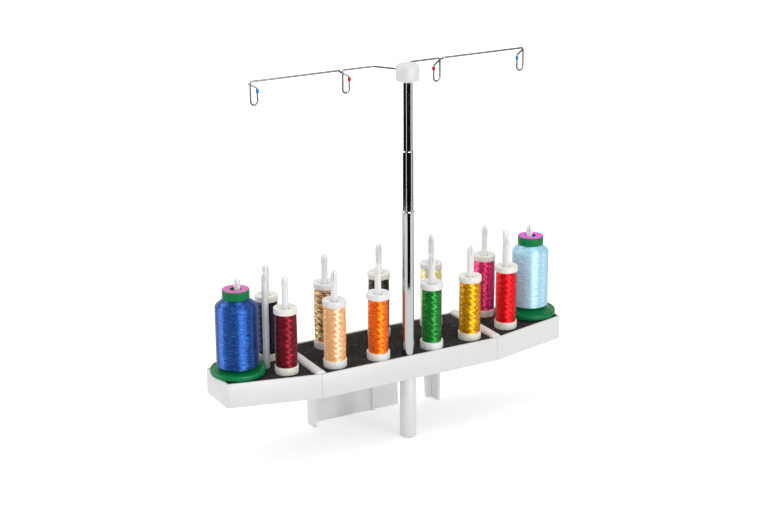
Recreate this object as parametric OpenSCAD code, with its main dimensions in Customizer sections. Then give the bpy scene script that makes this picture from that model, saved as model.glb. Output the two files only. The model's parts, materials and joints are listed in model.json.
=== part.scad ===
// Thread rack: three joined trays on a foot post and a rear bracket, with split spool
// pins and a telescopic mast that carries two guide wires over the spools.
// X runs along the rack, Y runs to the back and Z runs up. The origin is on the
// ground, below the middle of the whole rack. All lengths are in millimetres.

/* [Trays] */
// Length of the centre tray, from seam to seam
tray_l = 187; // [178:1:220]
// Depth of the centre tray, front to back
tray_d = 83.5; // [80:0.5:100]
// Height of the tray walls
wall_h = 23; // [20:0.5:30]
// Thickness of the tray walls
wall_t = 2; // [1.6:0.1:2.6]
// Thickness of the sunk deck
deck_t = 2.5; // [2:0.1:3.5]
// Distance of a wing's outer edge from its outer pin
wing_end = 23.4; // [21.5:0.1:30]
// Set-back of a wing's front edge at its outer end
wing_front_set = 20.5; // [14:0.5:22]
// Set-forward of a wing's rear edge at its outer end
wing_rear_set = 17.5; // [12:0.5:19]
// Radius on the outer corners of the wings
corner_r = 2.5; // [2:0.1:4]

/* [Joining hooks] */
// Height of the rounded rib over a seam, above the tray rim
hook_h = 3; // [2:0.1:5]
// Half the width of the rounded rib
hook_half = 4.4; // [4:0.1:5.5]
// Depth of the lip that drops inside the centre tray, below the rim
lip_drop = 2.4; // [1.5:0.1:2.8]
// Gap around the centre tray's end wall in the hook
hook_gap = 0.15; // [0.1:0.05:0.3]

/* [Mats] */
// Thickness of the felt mats
mat_t = 2.2; // [1.5:0.1:3]
// Depth of the mats' top below the tray rim
mat_drop = 0.8; // [0.4:0.1:1.5]
// Gap around the mats and around what passes through them
mat_gap = 0.3; // [0.2:0.05:0.6]

/* [Spool pins] */
// Diameter of a spool pin
pin_d = 6; // [5:0.1:6.4]
// Height of the pins above the mats
pin_h = 92; // [88:0.5:110]
// Width of the slot that splits a pin's tip
slot_w = 0.7; // [0.5:0.1:1.6]
// Length of the slot
slot_l = 9; // [6:0.5:12]
// Distance of the barbs below the tip
barb_drop = 8; // [5:0.5:10]
// How far the barbs stand out
barb_out = 0.5; // [0.4:0.1:1]
// Diameter of the bosses under the deck that hold the pins
boss_d = 10.5; // [9:0.5:12]
// Length of those bosses below the deck
boss_l = 11; // [8:0.5:14]

/* [Pin places] */
// Front row of the centre tray: inner pins, either side of the middle
front_inner_x = 28.5; // [28:0.5:34]
// Front row: distance of the inner pins from the front edge
front_inner_in = 13.5; // [13.5:0.5:16]
// Front row: distance of the outer pins from the tray's ends
front_outer_end = 21.5; // [20.5:0.5:32]
// Front row: distance of the outer pins from the front edge
front_outer_in = 16.5; // [13.5:0.5:20]
// Back row of the centre tray: distance of the outer pins from the tray's ends
back_outer_end = 36.1; // [26:0.1:50]
// Distance of the whole back row from the back edge
back_in = 19.5; // [18:0.5:22]
// Wing pins nearest to the seam: distance from the seam
near_x = 24; // [20:0.5:26]
// Wing pin nearest to the seam: distance from the front edge of the centre tray
near_in = 24.3; // [22:0.1:26]
// Middle pin of a wing: distance from the seam
middle_x = 35; // [30:0.5:42]
// Gap between a large spool's base and the middle pin
large_gap = 0.3; // [0.3:0.1:4]

/* [Foot post] */
// Diameter of the foot post
post_d = 15.5; // [14.5:0.1:16]
// Height of the trays' lower edge above the ground
stand_h = 60; // [50:1:80]
// Chamfer on the foot post's lower edge
post_chamfer = 1; // [0.5:0.1:2]
// Chamfer where the post meets the tray
post_step = 0.6; // [0.3:0.1:1]
// Depth to which the mast goes into the post
socket_l = 22; // [15:1:30]
// Head diameter of the screw in the post
post_screw_head_d = 7.6; // [6:0.2:8.4]
// Shank diameter of the screw in the post
post_screw_d = 4; // [3:0.5:5]
// Thickness of the post between that screw's head and the mast
post_web = 10; // [6:1:15]

/* [Rear bracket] */
// Width of the bracket over its end flanges
bracket_w = 139; // [130:1:160]
// Thickness of the bracket's plate and flanges
bracket_t = 2.8; // [2:0.1:3.5]
// Depth of the end flanges at the ground
flange_low = 14.5; // [10:0.5:20]
// Depth of the end flanges at their top
flange_high = 16.5; // [12:0.5:22]
// Notch in the plate: distance of its near edge from the middle, at the ground
notch_x = 29.2; // [20:0.2:34]
// Notch in the plate: width
notch_w = 31.5; // [20:0.5:33]
// How far the notch leans over its height
notch_lean = 3; // [0:0.5:5]
// How far the middle rib stands out of the plate
rib_out = 3; // [1.5:0.1:5]
// Thickness of the middle rib
rib_t = 2.6; // [1.5:0.1:3.5]
// Depth of the ledge that is screwed to the tray's bosses
ledge_d = 11.5; // [10:0.5:12]

/* [Mast] */
// Outer diameter of the lower tube
lower_d = 11.3; // [10.8:0.1:11.8]
// Step between one tube's outside and the next one's
lower_step = 1.2; // [1.2:0.1:1.6]
// Step between the middle tube's outside and the top tube's
middle_step = 1.3; // [1.2:0.1:1.6]
// Wall of the tubes
tube_t = 0.4; // [0.3:0.05:0.45]
// Height of the whole rack with its mast drawn out
rack_h = 357; // [340:1:380]
// Share of the mast above the trays that is lower tube
lower_share = 0.534; // [0.51:0.002:0.6]
// Share of the mast above the trays that is middle tube
middle_share = 0.2174; // [0.16:0.0002:0.24]
// Clearance at the rolled mouths and the spring sleeves
slide_gap = 0.05; // [0.02:0.01:0.08]
// Length of a spring sleeve, on the lower end of each inner tube
sleeve_l = 16; // [12:0.5:22]
// Gap between the foot of the mast and the front wall
mast_gap = 0.35; // [0.2:0.05:1]

/* [Guide hub] */
// Diameter of the hub
hub_d = 21.2; // [19:0.2:26]
// Height of the hub
hub_h = 15; // [14:0.5:20]
// Radius of the hub's rounded top edge
hub_round = 3; // [1.5:0.1:4]
// Radius of the hub's rounded lower edge
hub_round_low = 1; // [0.5:0.1:2]
// Wall of the bush that the hub turns on
bush_t = 1; // [0.8:0.1:1.4]
// Height of the bush's collar below the hub
bush_collar_h = 1.6; // [1:0.1:3]

/* [Guide wires] */
// Diameter of the guide wires
wire_d = 1.8; // [1.4:0.1:2]
// Height of the wires above the hub's lower face
wire_up = 9.2; // [7:0.1:10.5]
// Distance of the straight stretches behind the mast
arm_back = 28.5; // [24:0.5:34]
// Distance of the bends from the middle
bend_x = 19; // [15:0.5:24]
// Distance of the inner eyelets from the middle
inner_eye_x = 50; // [40:0.5:70]
// Distance of the outer eyelets from the middle
outer_eye_x = 140; // [110:1:160]
// Width of an eyelet, between the middles of its legs
eye_w = 6.6; // [6.4:0.1:8]
// Height of an eyelet below the wire
eye_h = 21; // [18:0.5:26]
// Diameter of a bead
bead_d = 3.2; // [2.6:0.1:4]
// Length of a bead
bead_l = 3.5; // [2.5:0.1:4.5]

/* [Small spools] */
// Diameter of the end caps
small_cap_d = 21.8; // [19:0.1:22.2]
// Height of an ivory small spool
small_h = 62.5; // [55:0.5:75]
// How much higher the white small spools are
white_more_h = 1.5; // [0:0.1:4]
// Height of the upper end cap
small_top_h = 5.3; // [3:0.1:7]
// Height of the lower end cap
small_base_h = 7; // [5:0.1:9]
// Depth of a full spool's thread below the rim of its caps
thread_in = 0.3; // [0.2:0.1:2]
// Outer diameter of the core between the caps
small_core_d = 11; // [10:0.1:13]
// Diameter of the hole through the spool
small_bore_d = 7.4; // [7.2:0.1:8.4]

/* [Large spools] */
// Diameter of the base
large_base_d = 50.8; // [46:0.2:51.4]
// Diameter of the foot ring below the base
large_foot_d = 38; // [34:0.5:39]
// Height of the foot ring
large_foot_h = 1.2; // [1.1:0.1:3]
// Height of the base's rim
large_rim_h = 5; // [3:0.1:6]
// Height of the full large spool's thread above the mat
full_thread_low = 9; // [8:0.1:12]
// Height of the slimmer large spool's thread above the mat
slim_thread_low = 11; // [8:0.1:12]
// Height of a large spool
large_h = 81; // [78:0.5:83]
// Height of the green band of its top cap
large_cap_h = 8.5; // [5:0.5:10]
// Rise of the thread's sloping shoulder for each millimetre outwards
shoulder_rise = 0.82; // [0.5:0.02:1.5]
// Diameter of the top cap
large_cap_d = 25; // [20:0.2:28]
// Thread diameter of the full large spool
full_thread_d = 38.8; // [32:0.2:44]
// Thread diameter of the slimmer large spool
slim_thread_d = 35.8; // [28:0.2:40]
// Outer diameter of a large spool's core
large_core_d = 14; // [13:0.5:18]
// Diameter of the hole through a large spool
large_bore_d = 10.8; // [10.2:0.1:11.2]
// How far a large spool hangs outwards on its pin
large_hang = 1.6; // [0:0.1:1.8]

/* [Screws] */
// Depth of the screw bosses below the decks
screw_drop = 9; // [8:0.5:12]
// Shank diameter of the tray screws
screw_d = 3; // [2.5:0.1:3.5]
// Head diameter of the tray screws
screw_head_d = 5.6; // [5:0.1:6]
// Head height of the tray screws
screw_head_h = 1.8; // [1.4:0.1:2.2]

/* [Hidden] */
$fn = 64;
SOFT = 32;
WIRE_SIDES = 10;
ARC_STEP = 15;
SEAT_GAP = 0.02;

// Heights above the ground
tray_low_z = stand_h;
rim_z = stand_h + wall_h;
mat_z = rim_z - mat_drop;
deck_z = mat_z - mat_t;
deck_low_z = deck_z - deck_t;

// Plan of the trays. The hub stands out in front of them, so they lie behind the middle
seam_x = tray_l / 2;
mast_in = wall_t + mast_gap + lower_d / 2;
hub_out = hub_d / 2 - mast_in;
front_y = (hub_out - tray_d) / 2;
back_y = front_y + tray_d;
mid_y = (front_y + back_y) / 2;
large_x = middle_x + pin_d / 2 + large_gap + large_base_d / 2;
outer_x = large_x - large_hang;
wing_x = seam_x + outer_x + wing_end;
wing_mid_y = (front_y + wing_front_set + back_y - wing_rear_set) / 2;
centre_plan = [[-seam_x, front_y], [seam_x, front_y], [seam_x, back_y], [-seam_x, back_y]];
wing_plan = [
    [seam_x, front_y],
    [wing_x, front_y + wing_front_set],
    [wing_x, back_y - wing_rear_set],
    [seam_x, back_y]
];

// Mast
middle_d = lower_d - lower_step;
top_d = middle_d - middle_step;
mast_y = front_y + mast_in;
tube_low_z = tray_low_z - socket_l;
hub_z = rack_h - hub_h;
mast_show = hub_z - rim_z;
lower_top_z = rim_z + mast_show * lower_share;
middle_top_z = lower_top_z + mast_show * middle_share;
mouth_h = 1.2;
stop_gap = 0.3;
sleeve_drop = mouth_h + stop_gap + sleeve_l;
tube_end = 0.5;
middle_low_z = lower_top_z - sleeve_drop - tube_end;
top_low_z = middle_top_z - sleeve_drop - tube_end;
plug_l = 12;
bush_d = top_d + 2 * bush_t;
bush_collar_d = top_d + bush_t;
bush_h = hub_h - 5;
bush_gap = 0.05;
wire_z = hub_z + wire_up;
wire_r = wire_d / 2;
arm_y = mast_y + arm_back;
hub_hole_in = bush_d / 2 + 1;
arm_angle = atan2(arm_back, bend_x);
return_drop = eye_w - 0.3;
return_bend = 0.8;
bead_drop = return_drop + return_bend + bead_l / 2;

// Screws
hook_screw_z = deck_low_z - screw_drop;
hook_screw_places = [mid_y - tray_d * 0.29, mid_y + tray_d * 0.29];
hook_screw_l = 12;
hook_boss_d = 8;
hook_boss_l = 10;
ledge_z = deck_low_z - screw_drop;
ledge_t = 2.5;
ledge_inner_x = bracket_w * 0.122;
ledge_outer_x = bracket_w * 0.31;
ledge_screw_x = [-ledge_outer_x, -ledge_inner_x, ledge_inner_x, ledge_outer_x];
ledge_y = back_y - wall_t - ledge_d / 2 - 2;
ledge_boss_d = 8;
post_recess = tube_low_z - post_web;
post_bolt_l = post_web + plug_l - 4;
post_head_h = 3;

// Places of the pins: x, y and the turn of the slot
back_row_y = back_y - back_in;
front_outer_x = seam_x - front_outer_end;
back_outer_x = seam_x - back_outer_end;
centre_pins = [
    [-front_inner_x, front_y + front_inner_in, 62],
    [front_inner_x, front_y + front_inner_in, 70],
    [-front_outer_x, front_y + front_outer_in, 55],
    [front_outer_x, front_y + front_outer_in, 80],
    [-back_outer_x, back_row_y, 60],
    [0, back_row_y, 95],
    [back_outer_x, back_row_y, 50]
];
wing_pins = [
    [seam_x + near_x, front_y + near_in, 62],
    [seam_x + near_x, back_row_y, 66],
    [seam_x + middle_x, wing_mid_y, 58],
    [seam_x + outer_x, wing_mid_y, 63]
];
near_front = wing_pins[0];
near_back = wing_pins[1];

// Small spools: name, x, y, height, how far the thread lies in from the caps' rim, and its colour
white_h = small_h + white_more_h;
SMALL = [
    ["peach", centre_pins[2].x, centre_pins[2].y, white_h, 1.8 * thread_in, "sandybrown"],
    ["orange", centre_pins[0].x, centre_pins[0].y, white_h, 4.5 * thread_in, "orangered"],
    ["green", centre_pins[1].x, centre_pins[1].y, white_h, 4.9 * thread_in, "limegreen"],
    ["gold", centre_pins[3].x, centre_pins[3].y, small_h, 2.2 * thread_in, "goldenrod"],
    ["variegated", centre_pins[4].x, centre_pins[4].y, white_h, 1.8 * thread_in, "olive"],
    ["black", centre_pins[5].x, centre_pins[5].y, white_h, 2.6 * thread_in, "black"],
    ["yellow", centre_pins[6].x, centre_pins[6].y, white_h, thread_in, "khaki"],
    ["dark_red", -near_front.x, near_front.y, small_h, 2 * thread_in, "darkred"],
    ["navy", -near_back.x, near_back.y, small_h, 1.4 * thread_in, "midnightblue"],
    ["red", near_front.x, near_front.y, small_h, 2.5 * thread_in, "red"],
    ["fuchsia", near_back.x, near_back.y, small_h, thread_in, "mediumvioletred"]
];
// Large spools: name, x, y, height and diameter of the thread, and its colour
LARGE = [
    ["royal_blue", -seam_x - large_x, wing_mid_y, full_thread_low, full_thread_d, "royalblue"],
    ["light_blue", seam_x + large_x, wing_mid_y, slim_thread_low, slim_thread_d, "lightblue"]
];

large_cap_low = large_h - large_cap_h;
disc_in = 0.7;
disc_t = 0.6;

// Points on an arc about a centre
function arc(c, r, a0, a1, step = ARC_STEP) =
    [for (a = [a0:(a1 > a0 ? step : -step):a1]) c + r * [cos(a), sin(a)]];

function unit(v) = v / norm(v);

// Where the line through p along u meets the line through q along v
function meet(p, u, q, v) = p + u * cross(q - p, v) / cross(u, v);

// A convex outline, given anticlockwise, moved inwards by a distance for each side
function inset(plan, by) =
    let (n = len(plan))
    [for (i = [0:n - 1])
        let (
            a = plan[(i + n - 1) % n],
            b = plan[i],
            c = plan[(i + 1) % n],
            u = unit(b - a),
            v = unit(c - b),
            pu = b + by[(i + n - 1) % n] * [-u.y, u.x],
            pv = b + by[i] * [-v.y, v.x]
        )
        meet(pu, u, pv, v)
    ];

// An outline with a radius on each of its corners
function rounded(plan, radii) =
    let (n = len(plan))
    [for (i = [0:n - 1])
        let (
            b = plan[i],
            u = unit(plan[(i + n - 1) % n] - b),
            v = unit(plan[(i + 1) % n] - b),
            half = acos(u * v) / 2,
            r = radii[i],
            c = b + unit(u + v) * r / sin(half),
            turn = (180 - 2 * half) / 6,
            start = atan2(-v.y - u.y, -v.x - u.x) - 3 * turn
        )
        each (r == 0 ? [b] : [for (k = [0:6]) c + r * [cos(start + k * turn), sin(start + k * turn)]])
    ];

// A path through points, with each inner corner rounded by a curve that starts r before it
function smooth_path(points, radii) =
    let (n = len(points))
    concat(
        [points[0]],
        [for (i = [1:n - 2])
            let (
                b = points[i],
                p = b + radii[i] * unit(points[i - 1] - b),
                q = b + radii[i] * unit(points[i + 1] - b)
            )
            for (t = [0:0.25:1]) (1 - t) * (1 - t) * p + 2 * t * (1 - t) * b + t * t * q
        ],
        [points[n - 1]]
    );

module prism(plan, low, high) {
    translate([0, 0, low]) linear_extrude(high - low) polygon(plan);
}

module bar(d, low, high) {
    translate([0, 0, low]) cylinder(d = d, h = high - low);
}

module pipe(outer_d, inner_d, low, high) {
    difference() {
        bar(outer_d, low, high);
        bar(inner_d, low - 1, high + 1);
    }
}

// A round wire along a path that never runs along Y
module wire(path, d) {
    n = len(path);
    across = [0, 1, 0];
    rings = [for (i = [0:n - 1])
        let (
            t = unit(path[min(i + 1, n - 1)] - path[max(i - 1, 0)]),
            a = unit(cross(t, across)),
            b = cross(a, t)
        )
        for (k = [0:WIRE_SIDES - 1])
            path[i] + d / 2 * (cos(k * 360 / WIRE_SIDES) * a + sin(k * 360 / WIRE_SIDES) * b)
    ];
    sides = [for (i = [0:n - 2], k = [0:WIRE_SIDES - 1])
        let (j = (k + 1) % WIRE_SIDES)
        [i * WIRE_SIDES + k, (i + 1) * WIRE_SIDES + k, (i + 1) * WIRE_SIDES + j, i * WIRE_SIDES + j]
    ];
    first = [for (k = [0:WIRE_SIDES - 1]) k];
    last = [for (k = [WIRE_SIDES - 1:-1:0]) (n - 1) * WIRE_SIDES + k];
    polyhedron(points = rings, faces = concat(sides, [first, last]));
}

// The hollow box of a tray: walls and a sunk deck
module tray_box(plan, radii, walls) {
    difference() {
        prism(rounded(plan, radii), tray_low_z, rim_z);
        prism(inset(plan, walls), deck_z, rim_z + 1);
        prism(inset(plan, walls), tray_low_z - 1, deck_low_z);
    }
}

module pin_bosses(places) {
    for (p = places) translate([p.x, p.y, 0]) bar(boss_d, deck_low_z - boss_l, deck_low_z + deck_t / 2);
}

module pin_bores(places) {
    for (p = places) translate([p.x, p.y, 0]) bar(pin_d, deck_low_z - boss_l - 1, deck_z + 1);
}

module at_mast() {
    translate([0, mast_y, 0]) children();
}

module centre_tray() {
    color("whitesmoke") difference() {
        union() {
            tray_box(centre_plan, [0, 0, 0, 0], [wall_t, wall_t, wall_t, wall_t]);
            pin_bosses(centre_pins);
            intersection() {
                at_mast() bar(post_d - 2 * post_step, tray_low_z, deck_low_z + deck_t / 2);
                prism(centre_plan, tray_low_z, deck_z);
            }
            for (x = ledge_screw_x)
                translate([x, ledge_y, 0]) bar(ledge_boss_d, ledge_z, deck_low_z + deck_t / 2);
            for (side = [-1, 1], y = hook_screw_places)
                translate([side * (seam_x - wall_t / 2), y, hook_screw_z]) rotate([0, -side * 90, 0])
                    cylinder(d = hook_boss_d, h = hook_boss_l);
        }
        pin_bores(centre_pins);
        at_mast() bar(lower_d + 2 * SEAT_GAP, tray_low_z - 1, deck_z + 1);
        for (x = ledge_screw_x)
            translate([x, ledge_y, 0]) bar(screw_d, ledge_z - 1, deck_low_z);
        for (side = [-1, 1], y = hook_screw_places)
            translate([side * (seam_x + 1), y, hook_screw_z]) rotate([0, -side * 90, 0])
                cylinder(d = screw_d, h = hook_boss_l);
        // The end walls are lower under the wings' hooks
        for (side = [-1, 1])
            translate([side * (seam_x - wall_t / 2), mid_y, rim_z])
                cube([wall_t + 1, tray_d - 2 * wall_t, 2 * hook_gap], center = true);
    }
}

// The rib's plan: between the wing's walls, and a little beyond the seam
hook_inside = inset(wing_plan, [wall_t, wall_t, wall_t, 0]);
hook_plan = concat(
    [[seam_x - 2 * hook_half, hook_inside[0].y]],
    hook_inside,
    [[seam_x - 2 * hook_half, hook_inside[3].y]]
);

// The rounded rib over a seam: half a rib stands on the wing, half hooks over the centre tray
module hook() {
    rib = [for (a = [0:ARC_STEP:180]) [seam_x + hook_half * cos(a), rim_z + hook_h * sin(a)]];
    lip_x = seam_x - wall_t - hook_gap;
    outline = concat(
        rib,
        [
            [seam_x - hook_half, rim_z - lip_drop],
            [lip_x, rim_z - lip_drop],
            [lip_x, rim_z],
            [seam_x, rim_z],
            [seam_x, deck_z - deck_t / 2],
            [seam_x + hook_half, deck_z - deck_t / 2]
        ]
    );
    translate([0, back_y, 0]) rotate([90, 0, 0]) linear_extrude(tray_d) polygon(outline);
}

// The right wing; the left one is its mirror image
module wing_tray() {
    difference() {
        union() {
            tray_box(wing_plan, [0, corner_r, corner_r, 0], [wall_t, wall_t, wall_t, wall_t]);
            pin_bosses(wing_pins);
            intersection() {
                hook();
                prism(hook_plan, tray_low_z, rim_z + hook_h + 1);
            }
        }
        pin_bores(wing_pins);
        for (y = hook_screw_places)
            translate([seam_x - 1, y, hook_screw_z]) rotate([0, 90, 0]) cylinder(d = screw_d, h = wall_t + 2);
    }
}

module right_wing_tray() {
    color("whitesmoke") wing_tray();
}

module left_wing_tray() {
    color("whitesmoke") mirror([1, 0, 0]) wing_tray();
}

module wing_screws() {
    color("silver") for (side = [-1, 1], y = hook_screw_places)
        translate([side * (seam_x + wall_t), y, hook_screw_z]) rotate([0, -side * 90, 0]) {
            cylinder(d = screw_d, h = hook_screw_l - screw_head_h);
            translate([0, 0, -screw_head_h]) cylinder(d = screw_head_d, h = screw_head_h);
        }
}

module mat(plan, edges, places) {
    color("dimgray") difference() {
        prism(inset(plan, edges), deck_z, mat_z);
        for (p = places) translate([p.x, p.y, 0]) bar(pin_d + 2 * mat_gap, deck_z - 1, mat_z + 1);
    }
}

module centre_mat() {
    edge = wall_t + mat_gap;
    under_hook = hook_half + mat_gap;
    difference() {
        mat(centre_plan, [edge, under_hook, edge, under_hook], centre_pins);
        at_mast() bar(lower_d + 2 * mat_gap, deck_z - 1, mat_z + 1);
    }
}

module right_wing_mat() {
    edge = wall_t + mat_gap;
    mat(wing_plan, [edge, edge, edge, hook_half + mat_gap], wing_pins);
}

module left_wing_mat() {
    mirror([1, 0, 0]) right_wing_mat();
}

// A split pin with a domed tip and two barbs
module spool_pin() {
    r = pin_d / 2;
    tip_z = mat_z + pin_h;
    barb_z = tip_z - barb_drop;
    profile = concat(
        [[0, deck_low_z - boss_l], [r - SEAT_GAP, deck_low_z - boss_l], [r - SEAT_GAP, deck_z], [r, deck_z]],
        [for (a = [0:ARC_STEP:90]) [r * cos(a), tip_z - r + r * sin(a)]]
    );
    barb_r = r + barb_out;
    barb = [[r - 0.5, barb_z - 1], [barb_r, barb_z], [barb_r, barb_z + 0.6], [r - 0.5, barb_z + 4]];
    difference() {
        union() {
            rotate_extrude() polygon(profile);
            intersection() {
                rotate_extrude() polygon(barb);
                translate([0, 0, barb_z]) cube([4 * r, r, 3 * barb_drop], center = true);
            }
        }
        translate([0, 0, tip_z - slot_l / 2 + 1]) cube([slot_w, 3 * r, slot_l + 2], center = true);
    }
}

module spool_pins(places) {
    color("white") for (p = places) translate([p.x, p.y, 0]) rotate([0, 0, p[2] - 90]) spool_pin();
}

module centre_spool_pins() {
    spool_pins(centre_pins);
}

module right_spool_pins() {
    spool_pins(wing_pins);
}

module left_spool_pins() {
    spool_pins([for (p = wing_pins) [-p.x, p.y, p[2]]]);
}

module foot_post() {
    r = post_d / 2;
    body = [
        [0, 0],
        [r - post_chamfer, 0],
        [r, post_chamfer],
        [r, tray_low_z - post_step],
        [r - post_step, tray_low_z],
        [0, tray_low_z]
    ];
    color("white") at_mast() difference() {
        rotate_extrude() polygon(body);
        bar(lower_d + 2 * SEAT_GAP, tube_low_z, tray_low_z + 1);
        bar(post_screw_d + 2 * SEAT_GAP, -1, tray_low_z);
        bar(post_screw_head_d + 0.8, -1, post_recess);
    }
}

module foot_post_screw() {
    color("silver") at_mast() {
        bar(post_screw_head_d, post_recess - post_head_h, post_recess);
        bar(post_screw_d, post_recess - post_head_h, post_recess + post_bolt_l);
    }
}

module mast_foot_plug() {
    color("dimgray") at_mast()
        pipe(lower_d - 2 * tube_t, post_screw_d, tube_low_z, tube_low_z + plug_l);
}

// The channel that stands behind the post: ledge, plate, end flanges and middle rib
module rear_bracket() {
    plate_y = back_y - wall_t - bracket_t;
    top_z = ledge_z;
    half_w = bracket_w / 2;
    rear_y = back_y - wall_t;
    flange = [
        [rear_y - flange_low, 0],
        [rear_y, 0],
        [rear_y, top_z],
        [rear_y - ledge_d, top_z],
        [rear_y - flange_high, top_z - ledge_t]
    ];
    notch_high = tray_low_z - 4;
    notch = [
        [notch_x, -1],
        [notch_x + notch_w, -1],
        [notch_x + notch_w - notch_lean, notch_high],
        [notch_x - notch_lean, notch_high]
    ];
    color("whitesmoke") difference() {
        union() {
            translate([-half_w, plate_y, 0]) cube([bracket_w, bracket_t, top_z]);
            translate([-half_w, rear_y - ledge_d, top_z - ledge_t]) cube([bracket_w, ledge_d, ledge_t]);
            for (x = [-half_w, half_w - bracket_t])
                translate([x, 0, 0]) rotate([90, 0, 90]) linear_extrude(bracket_t) polygon(flange);
            translate([-rib_t / 2, plate_y - rib_out, 0]) cube([rib_t, rib_out + 1, top_z]);
        }
        translate([0, back_y, 0]) rotate([90, 0, 0])
            linear_extrude(wall_t + bracket_t + rib_out + 1) polygon(notch);
        for (x = ledge_screw_x)
            translate([x, ledge_y, 0]) bar(screw_d + 2 * SEAT_GAP, top_z - ledge_t - 1, top_z + 1);
    }
}

module rear_bracket_screws() {
    head_z = ledge_z - ledge_t;
    color("silver") for (x = ledge_screw_x) translate([x, ledge_y, 0]) {
        bar(screw_head_d, head_z - screw_head_h, head_z);
        bar(screw_d, head_z - screw_head_h, deck_low_z - 1);
    }
}

// A tube of the mast with a rolled mouth that guides the next tube
module mast_tube(outer_d, next_d, low, high) {
    inner_d = outer_d - 2 * tube_t;
    mouth_d = next_d + 2 * slide_gap;
    color("gainsboro") at_mast() {
        pipe(outer_d, inner_d, low, high - mouth_h);
        pipe(outer_d, mouth_d, high - mouth_h, high);
    }
}

module mast_lower_tube() {
    mast_tube(lower_d, middle_d, tube_low_z, lower_top_z);
}

module mast_middle_tube() {
    mast_tube(middle_d, top_d, middle_low_z, middle_top_z);
}

module mast_top_tube() {
    color("gainsboro") at_mast() pipe(top_d, top_d - 2 * tube_t, top_low_z, hub_z + bush_h);
}

module spring_sleeve(tube_d, around_d, low) {
    color("goldenrod") at_mast()
        pipe(around_d - 2 * tube_t - 2 * slide_gap, tube_d, low + tube_end, low + tube_end + sleeve_l);
}

module middle_spring_sleeve() {
    spring_sleeve(middle_d, lower_d, middle_low_z);
}

module top_spring_sleeve() {
    spring_sleeve(top_d, middle_d, top_low_z);
}

// The bush: the hub rests on its top and turns round it, and its collar shows below the hub
module hub_bush() {
    color("white") at_mast() {
        pipe(bush_collar_d, top_d + 2 * SEAT_GAP, hub_z - bush_collar_h, hub_z + 1);
        pipe(bush_d, top_d + 2 * SEAT_GAP, hub_z + 1, hub_z + bush_h);
    }
}

module guide_hub() {
    r = hub_d / 2;
    top_z = hub_z + hub_h;
    profile = concat(
        [[0, hub_z]],
        arc([r - hub_round_low, hub_z + hub_round_low], hub_round_low, -90, 0),
        arc([r - hub_round, top_z - hub_round], hub_round, 0, 90),
        [[0, top_z]]
    );
    color("white") at_mast() difference() {
        rotate_extrude() polygon(profile);
        bar(bush_d + 2 * bush_gap, hub_z - 1, hub_z + bush_h + 0.1);
        for (a = [arm_angle, 180 - arm_angle])
            translate([0, 0, wire_z]) rotate([0, 0, a]) rotate([0, 90, 0]) translate([0, 0, hub_hole_in])
                cylinder(d = wire_d + 2 * SEAT_GAP, h = hub_d);
    }
}

// One long eyelet at a distance from the middle: down, round, up and back behind the first leg
function eyelet(x) = [
    [x, arm_y, wire_z],
    [x, arm_y, wire_z - eye_h],
    [x - eye_w, arm_y, wire_z - eye_h],
    [x - eye_w, arm_y, wire_z - return_drop],
    [x + 0.7, arm_y + wire_d + 0.35, wire_z - wire_d - 0.5]
];
eyelet_radii = [2, eye_w / 2, eye_w / 2, return_bend, 1];

// The right guide wire; the left one is its mirror image
module guide_wire() {
    start = hub_hole_in + 0.2;
    points = concat(
        [[start * cos(arm_angle), mast_y + start * sin(arm_angle), wire_z]],
        [[bend_x, arm_y, wire_z]],
        eyelet(inner_eye_x),
        [[inner_eye_x + 2 * wire_d, arm_y, wire_z]],
        eyelet(outer_eye_x)
    );
    radii = concat([0, 3], eyelet_radii, [1.2], eyelet_radii);
    color("silver") wire(smooth_path(points, radii), wire_d);
}

module right_guide_wire() {
    guide_wire();
}

module left_guide_wire() {
    mirror([1, 0, 0]) guide_wire();
}

module beads(x) {
    for (side = [-1, 1])
        translate([side * (x - eye_w), arm_y, wire_z - bead_drop])
            pipe(bead_d, wire_d + 2 * SEAT_GAP, -bead_l / 2, bead_l / 2);
}

module blue_beads() {
    color("dodgerblue") beads(outer_eye_x);
}

module red_beads() {
    color("crimson") beads(inner_eye_x);
}

// A small spool's core with its end caps
module small_spool_core(x, y, h) {
    r = small_cap_d / 2;
    bore = small_bore_d / 2;
    core = small_core_d / 2;
    edge = 0.6;
    profile = [
        [bore, 0],
        [r - edge, 0],
        [r, edge],
        [r, small_base_h - edge],
        [r - edge, small_base_h],
        [core, small_base_h],
        [core, h - small_top_h],
        [r - edge, h - small_top_h],
        [r, h - small_top_h + edge],
        [r, h - edge],
        [r - edge, h],
        [bore + 4, h],
        [bore + 3, h - 1.2],
        [bore, h - 1.2]
    ];
    color("ivory") translate([x, y, mat_z]) rotate_extrude() polygon(profile);
}

// The thread on a small spool, a little fuller in its middle
module small_thread(x, y, h, in, shade) {
    r = small_cap_d / 2 - in;
    core = small_core_d / 2 + SEAT_GAP;
    low = small_base_h;
    high = h - small_top_h;
    bulge = 0.35;
    side = [for (t = [0:0.125:1]) [r - bulge + bulge * sin(180 * t), low + t * (high - low)]];
    profile = concat([[core, low]], side, [[core, high]]);
    color(shade) translate([x, y, mat_z]) rotate_extrude() polygon(profile);
}

// A large spool's wide base: a foot ring, a rim and a shallow dish
module large_spool_base(x, y, low) {
    r = large_base_d / 2;
    foot = large_foot_d / 2;
    core = large_core_d / 2;
    rim_top = large_foot_h + large_rim_h;
    profile = [
        [large_bore_d / 2, 0],
        [foot, 0],
        [foot, large_foot_h],
        [r - 0.8, large_foot_h],
        [r, large_foot_h + 0.8],
        [r, rim_top - 0.8],
        [r - 0.8, rim_top],
        [r - 2, rim_top],
        [r - 3, rim_top - 0.6],
        [core + 5, low - 1.6],
        [core + 4, low],
        [large_bore_d / 2, low]
    ];
    color("seagreen") translate([x, y, mat_z]) rotate_extrude() polygon(profile);
}

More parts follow.
